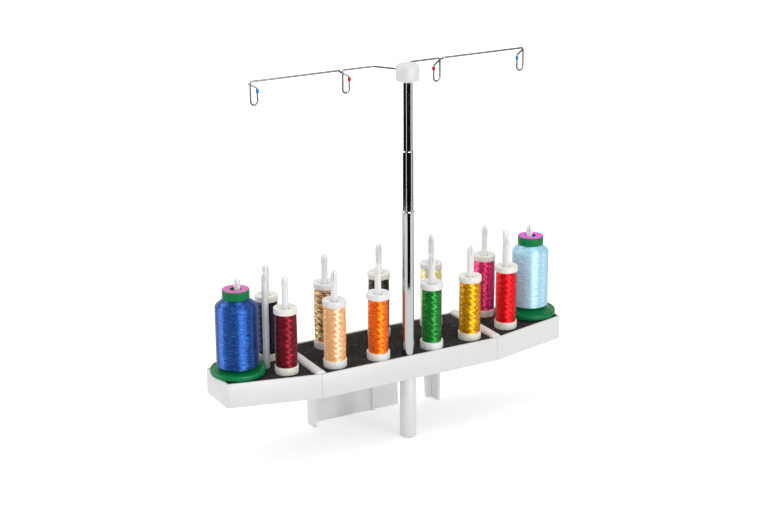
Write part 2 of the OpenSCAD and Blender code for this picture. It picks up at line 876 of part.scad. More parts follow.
// A large spool's core with its top cap
module large_spool_core(x, y, low) {
    r = large_cap_d / 2;
    bore = large_bore_d / 2;
    core = large_core_d / 2;
    profile = [
        [bore, low],
        [core, low],
        [core, large_cap_low],
        [r - 0.6, large_cap_low],
        [r, large_cap_low + 0.6],
        [r, large_h - 0.6],
        [r - 0.3, large_h],
        [r - disc_in, large_h],
        [r - disc_in, large_h - disc_t],
        [bore, large_h - disc_t]
    ];
    color("seagreen") translate([x, y, mat_z]) rotate_extrude() polygon(profile);
}

// The thread on a large spool: straight sides and a shoulder that slopes up to the cap
module large_thread(x, y, low, d, shade) {
    r = d / 2;
    core = large_core_d / 2 + SEAT_GAP;
    neck = large_cap_d / 2 - 1.2;
    shoulder_low = large_cap_low - (r - neck) * shoulder_rise;
    profile = [
        [core, low],
        [r - 0.8, low],
        [r, low + 0.8],
        [r, shoulder_low - 1.5],
        [r - 0.4, shoulder_low],
        [r - 1.5, shoulder_low + 1.2],
        [neck, large_cap_low],
        [core, large_cap_low]
    ];
    color(shade) translate([x, y, mat_z]) rotate_extrude() polygon(profile);
}

// The paper disc that lies in the top cap of a large spool
module large_spool_disc(x, y) {
    color("orchid") translate([x, y, mat_z])
        pipe(large_cap_d - 2 * disc_in - 0.2, large_bore_d, large_h - disc_t, large_h);
}

centre_tray();
left_wing_tray();
right_wing_tray();
wing_screws();
centre_mat();
left_wing_mat();
right_wing_mat();
centre_spool_pins();
left_spool_pins();
right_spool_pins();
foot_post();
foot_post_screw();
rear_bracket();
rear_bracket_screws();
mast_lower_tube();
mast_foot_plug();
mast_middle_tube();
middle_spring_sleeve();
mast_top_tube();
top_spring_sleeve();
hub_bush();
guide_hub();
left_guide_wire();
right_guide_wire();
blue_beads();
red_beads();
for (s = SMALL) {
    small_spool_core(s[1], s[2], s[3]);
    small_thread(s[1], s[2], s[3], s[4], s[5]);
}
for (s = LARGE) {
    large_spool_base(s[1], s[2], s[3]);
    large_spool_core(s[1], s[2], s[3]);
    large_thread(s[1], s[2], s[3], s[4], s[5]);
    large_spool_disc(s[1], s[2]);
}
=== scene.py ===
import json
import math

import bmesh
import bpy
from mathutils import Matrix, Vector

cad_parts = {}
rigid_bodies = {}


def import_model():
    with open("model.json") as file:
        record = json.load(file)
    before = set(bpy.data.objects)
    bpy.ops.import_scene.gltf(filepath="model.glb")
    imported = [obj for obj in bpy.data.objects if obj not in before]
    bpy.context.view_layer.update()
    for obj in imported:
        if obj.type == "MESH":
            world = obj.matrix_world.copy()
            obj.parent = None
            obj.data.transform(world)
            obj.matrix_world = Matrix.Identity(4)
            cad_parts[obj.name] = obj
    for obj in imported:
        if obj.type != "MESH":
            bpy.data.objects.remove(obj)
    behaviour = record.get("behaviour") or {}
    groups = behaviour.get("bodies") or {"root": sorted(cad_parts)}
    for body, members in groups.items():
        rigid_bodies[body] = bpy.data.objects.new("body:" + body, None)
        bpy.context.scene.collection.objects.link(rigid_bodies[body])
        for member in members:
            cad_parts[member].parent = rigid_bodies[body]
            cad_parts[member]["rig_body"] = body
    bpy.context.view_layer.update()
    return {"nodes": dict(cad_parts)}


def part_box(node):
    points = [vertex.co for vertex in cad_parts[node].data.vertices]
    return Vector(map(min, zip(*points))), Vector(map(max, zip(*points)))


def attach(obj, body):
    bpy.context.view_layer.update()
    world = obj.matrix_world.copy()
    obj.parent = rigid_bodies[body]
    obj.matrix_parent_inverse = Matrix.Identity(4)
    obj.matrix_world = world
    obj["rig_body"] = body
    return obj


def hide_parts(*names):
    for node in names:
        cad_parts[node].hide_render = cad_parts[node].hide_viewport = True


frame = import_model()
NODES = frame["nodes"]
MM = 0.001


def span(node, axis):
    """Where a node starts and ends along x, y or z, in mm."""
    return [round(corner["xyz".index(axis)] / MM, 3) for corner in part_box(node)]


def middle(node, axis):
    """The middle of a node along x, y or z, in mm."""
    return round(sum(span(node, axis)) / 2, 2)


# Sizes in mm that no box gives
PIN_R, PIN_TIP = 3.0, 174.2
SEAM_GAP = 0.3
WIRE_D = 1.8
ELBOW_X = 19
RED_EYELET_X, BLUE_EYELET_X = 50, 140
EYELET_W, EYELET_H = 6.6, 21

# Sizes in mm, read from the frame
MAST_Y = middle("mast_lower_tube", "y")
FRONT_Y = span("centre_tray", "y")[0]
RIM_Z = span("centre_tray", "z")[1]
SEAM_X = span("centre_tray", "x")[1]
DECK_Z, MAT_Z = span("centre_mat", "z")
PIN_LOW = span("centre_spool_pins", "z")[0]
HUB_Z, HUB_TOP = span("guide_hub", "z")
HUB_H = HUB_TOP - HUB_Z
HUB_R = span("guide_hub", "x")[1]
WIRE_Z = span("right_guide_wire", "z")[1] - WIRE_D / 2
ARM_Y = middle("blue_beads", "y")

# Pins: x and y in mm, and the turn of the slot in degrees
CENTRE_PINS = [
    (-28.5, -26.95, 62), (28.5, -26.95, 70), (-72, -23.95, 55), (72, -23.95, 80),
    (-57.4, 23.55, 60), (0, 23.55, 95), (57.4, 23.55, 50),
]
RIGHT_PINS = [(117.5, -16.15, 62), (117.5, 23.55, 66), (128.5, 2.8, 58), (155.6, 2.8, 63)]
LEFT_PINS = [(-x, y, turn) for x, y, turn in RIGHT_PINS]

# Small spools by the colour of their thread, with the plastic of their caps
SMALL_SPOOLS = {
    "peach": "white", "orange": "white", "green": "white", "gold": "cream",
    "variegated": "white", "black": "cream", "yellow": "white",
    "dark_red": "cream", "navy": "cream", "red": "cream", "fuchsia": "cream",
}
LARGE_SPOOLS = ["royal_blue", "light_blue"]

# Dyes in sRGB, 0 to 255: the shade, its painted shade between strands and in low bundles,
# its painted highlight on raised bundles, and how much it shines like metal
DYES = {
    "peach": ((255, 180, 66), (232, 122, 20), (255, 238, 196), 0.05),
    "orange": ((255, 110, 0), (228, 62, 0), (255, 182, 10), 0.75),
    "green": ((10, 124, 36), (0, 62, 12), (48, 172, 66), 0.7),
    "gold": ((224, 154, 0), (152, 84, 0), (255, 212, 0), 0.78),
    "variegated": ((190, 150, 96), (96, 70, 48), (230, 200, 150), 0.25),
    "black": ((34, 32, 22), (14, 14, 10), (70, 68, 46), 0.6),
    "yellow": ((255, 246, 158), (252, 238, 118), (255, 254, 222), 0.05),
    "dark_red": ((122, 0, 24), (36, 0, 6), (200, 14, 54), 0.75),
    "navy": ((12, 14, 56), (4, 4, 24), (32, 36, 100), 0.6),
    "red": ((230, 0, 16), (168, 0, 6), (252, 8, 26), 0.75),
    "fuchsia": ((238, 56, 126), (186, 26, 84), (252, 108, 168), 0.6),
    "royal_blue": ((8, 74, 154), (0, 32, 106), (44, 140, 208), 0.6),
    "light_blue": ((188, 231, 247), (140, 200, 236), (232, 250, 255), 0.15),
}
# The variegated thread's dyes, each with where it starts on a scale from 0 to 1
VARIEGATED = [
    (0.0, (252, 226, 120)), (0.14, (150, 74, 50)), (0.28, (240, 160, 110)), (0.4, (112, 104, 96)),
    (0.52, (250, 216, 130)), (0.64, (92, 52, 40)), (0.76, (226, 128, 96)), (0.88, (255, 236, 150)),
]

# The photograph's view. Its turns are in degrees. In mm are the camera's place from the middle
# of the front rim, along the picture's own directions, and its lens and sensor
VIEW_AZIMUTH, VIEW_ELEVATION, VIEW_ROLL = -28.84, 18.38, -0.35
VIEW_RIGHT, VIEW_UP, VIEW_BACK = -27.25, 92.83, 1687.97
VIEW_LENS, VIEW_SENSOR = 85.66, 36


def tint(r, g, b):
    """A colour given in sRGB, 0 to 255, as Blender's linear RGBA."""
    def part(v):
        v /= 255
        return v / 12.92 if v <= 0.04045 else ((v + 0.055) / 1.055) ** 2.4
    return part(r), part(g), part(b), 1.0


class Finish:
    """A material whose nodes are added one at a time."""

    def __init__(self, name, roughness=0.5, metallic=0.0, **sockets):
        self.material = bpy.data.materials.new(name)
        self.material.use_nodes = True
        self.nodes = self.material.node_tree.nodes
        self.links = self.material.node_tree.links
        self.shader = self.nodes["Principled BSDF"]
        self.set("Roughness", roughness)
        self.set("Metallic", metallic)
        for socket, value in sockets.items():
            self.set(socket.replace("_", " "), value)

    def set(self, name, value):
        """One value all over, on the shader's own socket."""
        self.shader.inputs[name].default_value = value

    def drive(self, name, socket):
        """A value that varies over the surface."""
        self.links.new(socket, self.shader.inputs[name])

    def add(self, kind, inputs=None, **settings):
        """A node with its settings; an input takes a value or another node's socket."""
        node = self.nodes.new("ShaderNode" + kind)
        for key, value in settings.items():
            setattr(node, key, value)
        for key, value in (inputs or {}).items():
            if isinstance(value, bpy.types.NodeSocket):
                self.links.new(value, node.inputs[key])
            else:
                node.inputs[key].default_value = value
        return node

    def math(self, operation, *values):
        return self.add("Math", dict(enumerate(values)), operation=operation).outputs[0]

    def plus(self, a, b):
        return self.math("ADD", a, b)

    def minus(self, a, b):
        return self.math("SUBTRACT", a, b)

    def times(self, a, b):
        return self.math("MULTIPLY", a, b)

    def between(self, factor, a, b):
        """The number a where the factor is 0, and b where it is 1."""
        return self.add("Mix", {0: factor, 2: a, 3: b}, data_type="FLOAT").outputs[0]

    def mix(self, factor, a, b):
        """The colour a where the factor is 0, and b where it is 1."""
        return self.add("Mix", {0: factor, 6: a, 7: b}, data_type="RGBA").outputs[2]

    def place(self):
        return self.add("TexCoord").outputs["Object"]

    def noise(self, scale, detail=2, roughness=0.5, vector=None):
        """Noise whose scale counts its waves to the metre, or to the vector's own unit."""
        waves = {"Scale": scale, "Detail": detail, "Roughness": roughness}
        return self.add("TexNoise", {"Vector": vector or self.place(), **waves}).outputs["Fac"]

    def spread(self, value, low, high, to_low=0.0, to_high=1.0):
        """The range from low to high spread over another range."""
        ends = {"From Min": low, "From Max": high, "To Min": to_low, "To Max": to_high}
        return self.add("MapRange", {"Value": value, **ends}).outputs["Result"]

    def bump(self, height, distance, strength):
        inputs = {"Strength": strength, "Distance": distance, "Height": height}
        self.drive("Normal", self.add("Bump", inputs).outputs["Normal"])


def moulded(name, shade, shadow, roughness, **sockets):
    """Moulded plastic: a fine spark-eroded grain, faint clouding and uneven gloss."""
    clouds, patches, grain = 14, 160, 2600
    plastic = Finish(name, **sockets)
    cloud = plastic.spread(plastic.noise(clouds), 0.3, 0.7)
    gloss = plastic.spread(plastic.noise(patches), 0.3, 0.7, roughness - 0.04, roughness + 0.04)
    plastic.drive("Base Color", plastic.mix(cloud, tint(*shadow), tint(*shade)))
    plastic.drive("Roughness", gloss)
    plastic.bump(plastic.noise(grain), 0.00002, 0.4)
    return plastic.material


def felt(name):
    """Charcoal needle felt: matted fibres, light flecks and a soft nap."""
    cloth = Finish(name, 0.95, Sheen_Weight=0.05, Sheen_Roughness=0.6, Specular_IOR_Level=0.06)
    fibres = cloth.noise(900, 4, 0.7)
    worn = cloth.spread(cloth.noise(60, 3), 0.4, 0.7, 0.0, 0.3)
    base = cloth.mix(cloth.spread(fibres, 0.3, 0.7), tint(13, 13, 14), tint(40, 39, 38))
    base = cloth.mix(worn, base, tint(58, 57, 57))
    flecks = cloth.times(cloth.spread(cloth.noise(1300, 2, 0.6), 0.60, 0.72), 0.55)
    specks = cloth.times(cloth.spread(cloth.noise(430, 1), 0.69, 0.73), 0.7)
    light = cloth.math("MAXIMUM", flecks, specks)
    cloth.drive("Base Color", cloth.mix(light, base, tint(124, 122, 120)))
    cloth.bump(cloth.plus(fibres, cloth.noise(260)), 0.0005, 0.9)
    return cloth.material


def drawn_metal(name, shade, roughness, along_z=True, edge=1.0):
    """Metal with faint draw marks along it. A low edge dulls its rims."""
    metal = Finish(name, metallic=1.0, Specular_Tint=(edge, edge, edge, 1.0))
    lighter = [min(255, c + 14) for c in shade]
    metal.drive("Base Color", metal.mix(metal.noise(30), tint(*shade), tint(*lighter)))
    stretch = (1, 1, 0.04) if along_z else (0.05, 1, 1)
    drawn = metal.add("Mapping", {"Vector": metal.place(), "Scale": stretch}).outputs[0]
    marks = metal.noise(900, vector=drawn)
    metal.drive("Roughness", metal.spread(marks, 0.3, 0.7, roughness, roughness + 0.04))
    metal.bump(marks, 0.000004, 0.4)
    return metal.material


def printed_disc(name, shade, light):
    """The paper disc in a large spool's cap: an even print on a soft paper."""
    paper = Finish(name, 0.55)
    ink = paper.spread(paper.noise(500, 3), 0.35, 0.65)
    paper.drive("Base Color", paper.mix(ink, tint(*shade), tint(*light)))
    paper.bump(paper.noise(1400), 0.00002, 0.5)
    return paper.material


def dyed_thread(dye, lay=5.5, tilt=9.0, lean=0.05, painted_stray_shade=0.3):
    """Cross-wound thread with a satin sheen. The UV map runs round the spool and up it, in mm.
    Its layers lean up and down by turns, and the sheen follows the lie of the strands."""
    *colours, metal = DYES[dye]
    # After the dye's own shade come a painted shade and a painted highlight colour
    shade, painted_shade, light = (tint(*colour) for colour in colours)
    pale = metal < 0.1
    thread = Finish(dye + " thread", 0.5 if pale else 0.43, metal, Anisotropic=1.0, Sheen_Weight=0.1)
    # A pale thread's sheen is white and strong. A darker one's takes on the colour of its dye
    thread.set("IOR", 2.05 if pale else 1.5)
    thread.set("Specular IOR Level", 1.0 if pale else 0.5)
    around = thread.add("UVMap", uv_map="winding").outputs[0]
    u, v = thread.add("SeparateXYZ", {0: around}).outputs[:2]

    def backs(line, apart):
        """The round backs of strands that lie this far apart: 0 between two, 1 on top."""
        return thread.math("ABSOLUTE", thread.math("SINE", thread.times(line, math.pi / apart)))

    # Bands of strands that lean up, and then down, round the spool
    pitch, climb, wander = 0.42, 0.31, 5.0
    rise = thread.times(u, math.tan(math.radians(tilt)))
    up, down = thread.plus(v, rise), thread.minus(v, rise)
    drift = thread.times(thread.minus(thread.noise(0.21, vector=around), 0.5), wander)
    bands = thread.plus(thread.plus(v, thread.times(u, climb)), drift)
    downward = thread.spread(thread.math("SINE", thread.times(bands, 2 * math.pi / lay)), -0.2, 0.2)
    strand = thread.between(downward, backs(up, pitch), backs(down, pitch))
    line = thread.between(downward, up, down)
    lie = thread.add("CombineXYZ", {0: thread.times(u, 0.12), 1: line, 2: 0.0}).outputs[0]
    bundle = thread.noise(1.1, 2, 0.6, lie)
    if dye == "variegated":
        shade = variegated(thread, lie)
        # The variegated thread's painted shade and painted highlight are mixed from its dyes
        painted_shade = thread.mix(0.35, shade, tint(60, 44, 34))
        light = thread.mix(0.2, shade, tint(250, 232, 200))
    # The tone varies from bundle to bundle: low bundles are darkened with painted shade and raised ones
    # lightened with painted highlight
    tone = thread.mix(thread.spread(bundle, 0.34, 0.52), painted_shade, shade)
    tone = thread.mix(thread.spread(bundle, 0.55, 0.75), tone, light)
    # Painted shade between the strands, where the bump sinks
    tone = thread.mix(thread.spread(strand, 0.0, 0.4, 0.35, 0.0), tone, painted_shade)
    # A long single strand crosses the lay now and then, up or down, drawn only as a thin line of painted
    # shade
    for slope, apart in ((-0.16, 19), (0.13, 23)):
        path = thread.plus(v, thread.times(u, slope))
        tone = thread.mix(thread.spread(backs(path, apart), 0.0, 0.05, painted_stray_shade, 0.0), tone, painted_shade)
    thread.drive("Base Color", tone)
    # A quarter turn lays the sheen across the strands; the lean and the bundles swing it
    leaning = thread.spread(downward, 0.0, 1.0, 0.25 - lean, 0.25 + lean)
    swing = thread.spread(bundle, 0.25, 0.75, -0.035, 0.035)
    thread.drive("Anisotropic Rotation", thread.plus(leaning, swing))
    tangent = thread.add("Tangent", direction_type="UV_MAP", uv_map="winding")
    thread.drive("Tangent", tangent.outputs[0])
    height = thread.plus(thread.times(strand, 0.1), thread.times(bundle, 0.7))
    thread.bump(thread.plus(height, thread.times(downward, 0.15)), 0.00035, 0.25)
    return thread.material


def variegated(thread, lie):
    """Short lengths of several dyes along one thread."""
    cells = thread.add("Mapping", {"Vector": lie, "Scale": (1.5, 0.75, 1)}).outputs[0]
    cell = thread.add("TexVoronoi", {"Vector": cells, "Scale": 1.0}).outputs["Color"]
    share = thread.add("SeparateXYZ", {0: cell}).outputs[0]
    ramp = thread.add("ValToRGB", {0: share})
    bar = ramp.color_ramp
    bar.interpolation = "CONSTANT"
    first, *others, last = VARIEGATED
    bar.elements[0].color = tint(*first[1])
    bar.elements[1].position = last[0]
    bar.elements[1].color = tint(*last[1])
    for start, colour in others:
        bar.elements.new(start).color = tint(*colour)
    return ramp.outputs[0]


TRAY = moulded("tray plastic", (232, 232, 232), (227, 227, 227), 0.45)
# The bracket's plastic is painted lighter than the tray's: painted light that makes up for the shade under
# the tray
BRACKET_PAINTED_LIGHTER = moulded("bracket plastic", (248, 248, 249), (244, 244, 245), 0.45)
HUB = moulded("hub plastic", (228, 228, 229), (222, 222, 223), 0.5)
POST = moulded("foot post plastic", (232, 232, 232), (228, 228, 228), 0.45)
PIN = moulded("pin plastic", (243, 243, 243), (238, 238, 238), 0.32)
CORE = {
    "white": moulded("white spool plastic", (241, 241, 240), (234, 234, 233), 0.38),
    "cream": moulded("cream spool plastic", (245, 243, 234), (239, 236, 226), 0.38),
}
GREEN = moulded("green spool plastic", (0, 130, 72), (0, 114, 62), 0.34, Specular_IOR_Level=0.15)
FELT = felt("charcoal felt")
CHROME = drawn_metal("mast chrome", (170, 171, 174), 0.04)
WIRE = drawn_metal("guide wire steel", (102, 100, 98), 0.28, along_z=False, edge=0.2)
SCREW = drawn_metal("screw steel", (170, 170, 172), 0.3)
BRASS = drawn_metal("sleeve brass", (212, 170, 90), 0.28)
PLUG = moulded("plug plastic", (60, 60, 62), (44, 44, 46), 0.5)
BLUE_BEAD = moulded("blue bead", (0, 148, 220), (0, 132, 206), 0.4, Specular_IOR_Level=0.15)
RED_BEAD = moulded("red bead", (212, 8, 30), (188, 4, 22), 0.4, Specular_IOR_Level=0.15)
DISC = {
    "royal_blue": printed_disc("pink paper", (206, 92, 178), (224, 122, 196)),
    "light_blue": printed_disc("magenta paper", (222, 70, 208), (240, 104, 226)),
}
CLOTH = Finish("black cloth", 1.0, Specular_IOR_Level=0.0, Base_Color=tint(14, 14, 15)).material


def put(name, data):
    """An object in the scene, at the origin."""
    made = bpy.data.objects.new(name, data)
    bpy.context.scene.collection.objects.link(made)
    return made


def paint(mesh, finish):
    """The one finish of a mesh."""
    mesh.materials.clear()
    mesh.materials.append(finish)


def new_piece(node, name, mesh, finish):
    """A finished piece that stands for a node and rides on the node's body."""
    mesh.name = name
    paint(mesh, finish)
    piece = put(name, mesh)
    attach(piece, NODES[node]["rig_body"])
    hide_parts(node)


def quarter(r, z, radius, start=0):
    """A quarter round in (r, z) about a centre, from the outside up, in steps of 10 degrees."""
    turns = [math.radians(turn) for turn in range(start, 90, 10)]
    return [(r + radius * math.cos(turn), z + radius * math.sin(turn)) for turn in turns]


def eased(outline, radius, steps=3):
    """The closed outline of (r, z) with its corners rounded, apart from those on the axis."""
    made = []
    for i, corner in enumerate(outline):
        here = Vector(corner)
        back = Vector(outline[i - 1]) - here
        on = Vector(outline[(i + 1) % len(outline)]) - here
        room = min(radius, 0.45 * back.length, 0.45 * on.length)
        straight = abs(back.angle(on) - math.pi) < 0.05
        if here.x < 1e-6 or room < 0.01 or straight:
            made.append(here)
            continue
        p, q = here + back.normalized() * room, here + on.normalized() * room
        for k in range(steps + 1):
            t = k / steps
            made.append((1 - t) ** 2 * p + 2 * t * (1 - t) * here + t * t * q)
    return made


def turned(outline, centre, base=0.0, sides=72, shape=None, uv=False):
    """A closed outline of (r, z) in mm, spun round the upright line through centre.
    shape(r, z, turn) may move a point outwards; uv writes the map called winding, in mm."""
    bm = bmesh.new()
    layer = bm.loops.layers.uv.new("winding") if uv else None
    rings = []
    for k in range(sides):
        turn = 2 * math.pi * k / sides
        ring = []
        for i, (r, z) in enumerate(outline):
            on_axis = r < 1e-6
            if on_axis and k:
                ring.append(rings[0][i])
                continue
            out = r + (shape(r, z, turn) if shape and not on_axis else 0.0)
            x, y = centre[0] + out * math.cos(turn), centre[1] + out * math.sin(turn)
            ring.append(bm.verts.new((x * MM, y * MM, (base + z) * MM)))
        rings.append(ring)
    widest = max(r for r, z in outline)
    for k in range(sides):
        here, there = rings[k], rings[(k + 1) % sides]
        for i in range(len(outline)):
            j = (i + 1) % len(outline)
            corners = [(here[i], k, i), (there[i], k + 1, i), (there[j], k + 1, j), (here[j], k, j)]
            kept = corners[:1]
            for corner in corners[1:]:
                if corner[0] is not kept[-1][0] and corner[0] is not kept[0][0]:
                    kept.append(corner)
            if len(kept) < 3:
                continue
            face = bm.faces.new([vert for vert, step, index in kept])
            if uv:
                for loop, (vert, step, index) in zip(face.loops, kept):
                    loop[layer].uv = (2 * math.pi * widest * step / sides, outline[index][1])
    bmesh.ops.recalc_face_normals(bm, faces=bm.faces)
    mesh = bpy.data.meshes.new("turned")
    bm.to_mesh(mesh)
    bm.free()
    smooth(mesh)
    return mesh


def smooth(mesh, angle=38):
    """Smooth shading, with the edges past the angle kept sharp."""
    mesh.shade_smooth()
    mesh.set_sharp_from_angle(angle=math.radians(angle))


def plain(piece):
    """The piece's mesh with its modifiers worked in, and the object it came from taken away."""
    graph = bpy.context.evaluated_depsgraph_get()
    mesh = bpy.data.meshes.new_from_object(piece.evaluated_get(graph), depsgraph=graph)
    bpy.data.objects.remove(piece)
    return mesh


def softened(node, edge, seam):
    """A node's own shape, merged, with its sharp edges broken. At the trays' joint it
    stands back by the width of the open seam."""
    weld, at_seam, flat, sharp = 2e-6, 1e-5, math.radians(0.6), math.radians(40)
    mesh = NODES[node].data.copy()
    bm = bmesh.new()
    bm.from_mesh(mesh)
    bmesh.ops.remove_doubles(bm, verts=bm.verts, dist=weld)
    bmesh.ops.dissolve_limit(bm, angle_limit=flat, verts=bm.verts, edges=bm.edges)
    for v in bm.verts:
        if seam and abs(abs(v.co.x) - SEAM_X * MM) < at_seam:
            v.co.x += math.copysign(seam * MM, v.co.x)
    bm.to_mesh(mesh)
    bm.free()
    piece = put("softened", mesh)
    bevel = piece.modifiers.new("broken edges", "BEVEL")
    bevel.width = edge * MM
    bevel.segments = 2
    bevel.limit_method = "ANGLE"
    bevel.angle_limit = sharp
    made = plain(piece)
    smooth(made, 30)
    return made


def dress(node, name, finish, edge, seam=0.0):
    """A softened copy stands for the node."""
    new_piece(node, name, softened(node, edge, seam), finish)


class Recipe:
    """A Geometry Nodes tree built one node at a time, with its inputs by name."""

    def __init__(self, name):
        self.tree = bpy.data.node_groups.new(name, "GeometryNodeTree")
        self.names = {}
        for way in ("OUTPUT", "INPUT"):
            self.tree.interface.new_socket("Geometry", in_out=way, socket_type="NodeSocketGeometry")
        self.start = self.tree.nodes.new("NodeGroupInput")
        self.end = self.tree.nodes.new("NodeGroupOutput")

    def asks(self, name, kind):
        """A new input of the recipe, and the socket that gives it."""
        self.names[name] = self.tree.interface.new_socket(
            name, in_out="INPUT", socket_type="NodeSocket" + kind).identifier
        return self.start.outputs[name]

    def add(self, kind, inputs, **settings):
        node = self.tree.nodes.new("GeometryNode" + kind)
        for key, value in settings.items():
            setattr(node, key, value)
        for key, value in inputs.items():
            if isinstance(value, bpy.types.NodeSocket):
                self.tree.links.new(value, node.inputs[key])
            else:
                node.inputs[key].default_value = value
        return node

    def closes(self, geometry, finish):
        """Every recipe ends in real geometry with its material."""
        real = self.add("RealizeInstances", {"Geometry": geometry})
        done = self.add("SetMaterial", {"Geometry": real.outputs[0], "Material": finish})
        self.tree.links.new(done.outputs[0], self.end.inputs[0])

    def made_from(self, mesh, **values):
        """The plain mesh that the recipe makes from a mesh."""
        piece = put(self.tree.name, mesh)
        step = piece.modifiers.new(self.tree.name, "NODES")
        step.node_group = self.tree
        for name, value in values.items():
            step[self.names[name]] = value
        return plain(piece)


def sweeping():
    """A round rod along a path, with closed ends."""
    recipe = Recipe("rod along a path")
    radius = recipe.asks("Radius", "Float")
    sides = recipe.asks("Sides", "Int")
    finish = recipe.asks("Finish", "Material")
    path = recipe.add("MeshToCurve", {"Mesh": recipe.start.outputs["Geometry"]}).outputs[0]
    ring = recipe.add("CurvePrimitiveCircle", {"Resolution": sides, "Radius": radius}).outputs[0]
    swept = recipe.add("CurveToMesh", {"Curve": path, "Profile Curve": ring, "Fill Caps": True})
    recipe.closes(swept.outputs[0], finish)
    return recipe


def setting_out():
    """One thing set out at each point, turned by the point's own turn."""
    recipe = Recipe("thing at each place")
    points = recipe.start.outputs["Geometry"]
    thing = recipe.asks("Thing", "Object")
    finish = recipe.asks("Finish", "Material")
    shape = recipe.add("ObjectInfo", {"Object": thing, "As Instance": True}).outputs["Geometry"]
    turn = recipe.add("InputNamedAttribute", {"Name": "turn"}, data_type="FLOAT_VECTOR").outputs[0]
    put_out = recipe.add("InstanceOnPoints", {"Points": points, "Instance": shape, "Rotation": turn})
    recipe.closes(put_out.outputs[0], finish)
    return recipe


ROD = sweeping()
SET_OUT = setting_out()


def rod(points, thickness, sides, finish):
    """A round rod through points in mm."""
    path = bpy.data.meshes.new("path")
    edges = [(i, i + 1) for i in range(len(points) - 1)]
    path.from_pydata([[c * MM for c in point] for point in points], edges, [])
    return ROD.made_from(path, Radius=thickness / 2 * MM, Sides=sides, Finish=finish)


def set_out(mesh, places, finish):
    """Copies of a mesh at places, each (x, y, z, turns about X, Y and Z in degrees)."""
    points = bpy.data.meshes.new("places")
    points.from_pydata([[c * MM for c in place[:3]] for place in places], [], [])
    turns = points.attributes.new("turn", "FLOAT_VECTOR", "POINT")
    for i, place in enumerate(places):
        turns.data[i].vector = [math.radians(turn) for turn in place[3:]]
    thing = put("thing", mesh)
    made = SET_OUT.made_from(points, Thing=thing, Finish=finish)
    bpy.data.objects.remove(thing)
    smooth(made)
    return made


def arcs(points, lengths, steps=8):
    """A path whose corners are round: each arc starts its own length before the corner."""
    made = [Vector(points[0])]
    for before, corner, after, length in zip(points, points[1:], points[2:], lengths):
        b = Vector(corner)
        back, on = (Vector(before) - b).normalized(), (Vector(after) - b).normalized()
        p, q = b + back * length, b + on * length
        weight = math.cos((math.pi - back.angle(on)) / 2)
        for k in range(steps + 1):
            t = k / steps
            parts = (1 - t) ** 2, 2 * weight * t * (1 - t), t * t
            made.append((parts[0] * p + parts[1] * b + parts[2] * q) / sum(parts))
    made.append(Vector(points[-1]))
    kept = [made[0]]
    for point in made[1:]:
        if (point - kept[-1]).length > 0.02:
            kept.append(point)
    return kept


def cut_away(mesh, cutter):
    """The mesh without what lies in the cutter."""
    piece, tool = put("piece", mesh), put("cutter", cutter)
    step = piece.modifiers.new("cut", "BOOLEAN")
    step.operation = "DIFFERENCE"
    step.solver = "EXACT"
    step.object = tool
    made = plain(piece)
    bpy.data.objects.remove(tool)
    return made


def block(low, high):
    """A plain block between two corners, to cut with."""
    bm = bmesh.new()
    bmesh.ops.create_cube(bm, size=1)
    for v in bm.verts:
        v.co = [(a + (b - a) * (c + 0.5)) * MM for a, b, c in zip(low, high, v.co)]
    mesh = bpy.data.meshes.new("block")
    bm.to_mesh(mesh)
    bm.free()
    return mesh


def trays_and_supports():
    """Trays, bracket, post and mats keep their shape, with their edges broken."""
    dress("centre_tray", "centre_tray_shell", TRAY, edge=0.35)
    for side in ("left", "right"):
        dress(side + "_wing_tray", side + "_wing_shell", TRAY, edge=0.35, seam=SEAM_GAP)
    dress("rear_bracket", "rear_bracket_channel", BRACKET_PAINTED_LIGHTER, edge=0.3)
    dress("foot_post", "foot_post_body", POST, edge=0.15)
    for mat in ("centre_mat", "left_wing_mat", "right_wing_mat"):
        dress(mat, mat + "_felt", FELT, edge=0.4)


def spool_pin():
    """A split pin with a domed tip; each half has a barb on its outside."""
    barb, barb_out, fall = PIN_TIP - 8, 0.5, 3.4
    half_turn, fade = 0.62, 0.2
    slot_half, slot_deep, past = 0.25, 9, 2

    def barbs(r, z, turn):
        off = abs((turn + math.pi / 2) % math.pi - math.pi / 2)
        height = min(z - barb + 1, 1.0, (barb + 4 - z) / fall)
        return barb_out * max(0.0, height) * max(0.0, min(1.0, (half_turn - off) / fade))

    heights = (DECK_Z + 0.1, 120, barb - 1, barb, barb + 0.6, barb + 2, barb + 4)
    foot = [(0, PIN_LOW), (PIN_R - 0.32, PIN_LOW), (PIN_R - 0.02, PIN_LOW + 0.3), (PIN_R - 0.02, DECK_Z)]
    side = [(PIN_R, z) for z in heights]
    outline = foot + side + quarter(0, PIN_TIP - PIN_R, PIN_R) + [(0, PIN_TIP)]
    slot = block((-slot_half, -5, PIN_TIP - slot_deep), (slot_half, 5, PIN_TIP + past))
    return cut_away(turned(outline, (0, 0), sides=48, shape=barbs), slot)


def spool_pins():
    shape = spool_pin()
    for side, pins in (("centre", CENTRE_PINS), ("left", LEFT_PINS), ("right", RIGHT_PINS)):
        places = [(x, y, 0, 0, 0, turn - 90) for x, y, turn in pins]
        mesh = set_out(shape, places, PIN)
        new_piece(side + "_spool_pins", side + "_split_pins", mesh, PIN)


